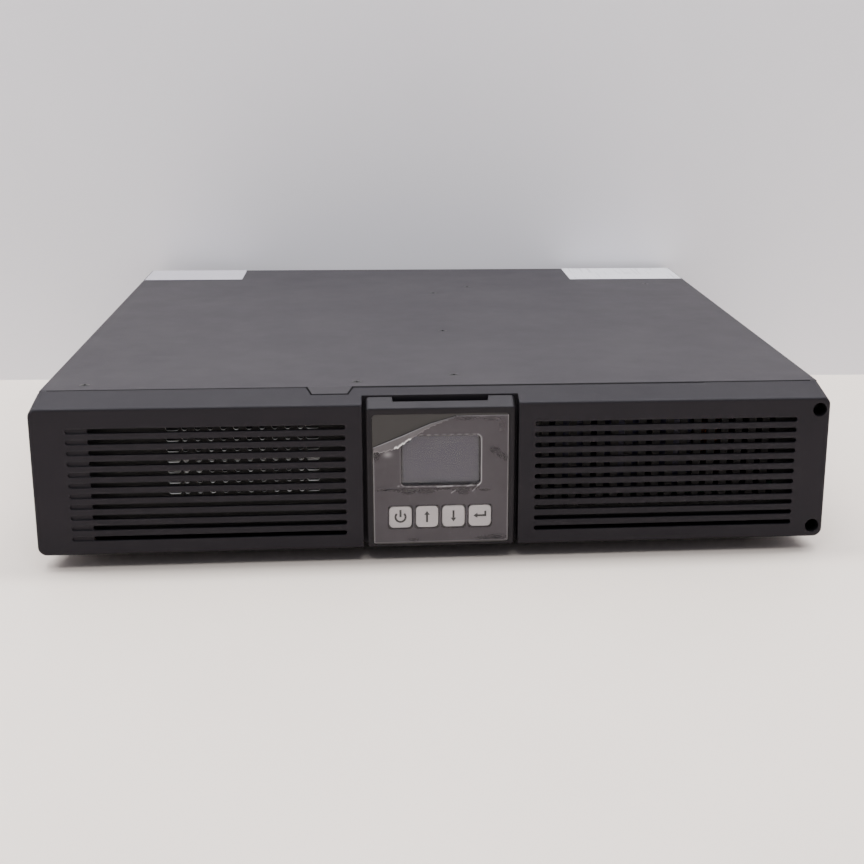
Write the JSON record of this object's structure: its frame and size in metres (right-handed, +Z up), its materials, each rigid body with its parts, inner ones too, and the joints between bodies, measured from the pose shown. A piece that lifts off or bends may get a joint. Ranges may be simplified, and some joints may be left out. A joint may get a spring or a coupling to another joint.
{
  "type": "rackmount ups",
  "caption": "Flat two-unit rack case with slotted black front bezel, square pull-out display module with keys, steel lid, and a rear panel of sockets and a fan.",
  "frame": {"origin": "on the ground under the middle of the unit", "axes": "+X to the right seen from the front, +Y to the back, +Z up"},
  "size_m": [0.4378, 0.416, 0.0969],
  "materials": {
    "case_paint": "fine textured dark grey paint",
    "zinc_steel": "zinc plated sheet",
    "bezel_plastic": "fine moulded grain",
    "module_plastic": "fine moulded grain",
    "overlay": "glossy printed film",
    "window": "clear",
    "lcd": "unlit display",
    "key_plastic": "satin",
    "film": "clear protective film",
    "label_paper": "paper label",
    "screw_black": "black zinc",
    "screw_zinc": "zinc plated",
    "rubber": "soft",
    "pcb": "solder mask",
    "battery_case": "moulded",
    "lead_red": "wire insulation",
    "lead_black": "wire insulation",
    "connector_grey": "moulded nylon",
    "socket_black": "moulded nylon",
    "brass_pin": "plated",
    "sink_aluminium": "extruded",
    "coil": "enamelled wire",
    "can_sleeve": "sleeve",
    "core_ferrite": "ferrite",
    "relay_case": "moulded",
    "fan_plastic": "moulded",
    "guard_wire": "plated wire",
    "port_metal": "nickel plated",
    "terminal_green": "moulded",
    "ribbon_grey": "flat lead"
  },
  "bodies": {
    "chassis": {"base_tray": "case_paint", "top_cover": "case_paint", "rear_panel": "case_paint", "front_wall": "zinc_steel", "battery_cover": "zinc_steel", "battery_cover_screws": "screw_zinc", "battery_divider": "zinc_steel", "cross_brace": "zinc_steel", "case_screws": "screw_black", "feet": "rubber", "label_left": "label_paper", "label_right": "label_paper", "front_bezel": "bezel_plastic", "bezel_screws": "screw_black", "display_ribbon": "ribbon_grey", "battery_tray": "zinc_steel", "battery_1": "battery_case", "battery_2": "battery_case", "battery_3": "battery_case", "battery_lead_red": "lead_red", "battery_lead_black": "lead_black", "battery_jumpers": "lead_black", "battery_plug": "connector_grey", "main_board": "pcb", "board_standoffs": "screw_zinc", "control_board": "pcb", "heat_sinks": "sink_aluminium", "inductors": "coil", "capacitors": "can_sleeve", "transformer": "core_ferrite", "relays": "relay_case", "fan_frame": "fan_plastic", "fan_guard": "guard_wire", "fan_screws": "screw_black", "inlet_socket": "socket_black", "inlet_pins": "brass_pin", "outlet_bank_upper": "socket_black", "outlet_bank_lower": "socket_black", "breaker_body": "socket_black", "usb_port": "port_metal", "serial_port": "port_metal", "epo_terminal": "terminal_green", "slot_cover": "case_paint", "slot_cover_screws": "screw_zinc", "battery_connector": "connector_grey", "ground_screw": "screw_zinc"},
    "display_module": {"module_housing": "module_plastic", "module_back_cover": "module_plastic", "display_board": "pcb", "lcd_panel": "lcd", "face_plate": "overlay", "display_window": "window", "key_switches": "socket_black", "protective_film": "film"},
    "key_power": {"key_power": "key_plastic"},
    "key_up": {"key_up": "key_plastic"},
    "key_down": {"key_down": "key_plastic"},
    "key_enter": {"key_enter": "key_plastic"},
    "fan_wheel": {"fan_rotor": "fan_plastic"},
    "reset_button": {"breaker_button": "socket_black"}
  },
  "joints": [
    {"name": "display_pull", "type": "slide", "parent": "chassis", "child": "display_module", "axis": [0, -1, 0], "range_m": [0, 0.025], "deforming": ["display_ribbon"]},
    {"name": "key_power_press", "type": "slide", "parent": "display_module", "child": "key_power", "axis": [0, 1, 0], "range_m": [0, 0.0005], "stiffness_N_per_m": 1500},
    {"name": "key_up_press", "type": "slide", "parent": "display_module", "child": "key_up", "axis": [0, 1, 0], "range_m": [0, 0.0005], "stiffness_N_per_m": 1500},
    {"name": "key_down_press", "type": "slide", "parent": "display_module", "child": "key_down", "axis": [0, 1, 0], "range_m": [0, 0.0005], "stiffness_N_per_m": 1500},
    {"name": "key_enter_press", "type": "slide", "parent": "display_module", "child": "key_enter", "axis": [0, 1, 0], "range_m": [0, 0.0005], "stiffness_N_per_m": 1500},
    {"name": "fan_spin", "type": "hinge", "parent": "chassis", "child": "fan_wheel", "pos_m": [0.162, 0.19, 0.0536], "axis": [0, 1, 0], "continuous": true},
    {"name": "breaker_reset", "type": "slide", "parent": "chassis", "child": "reset_button", "axis": [0, 1, 0], "range_m": [0, 0.004]}
  ]
}
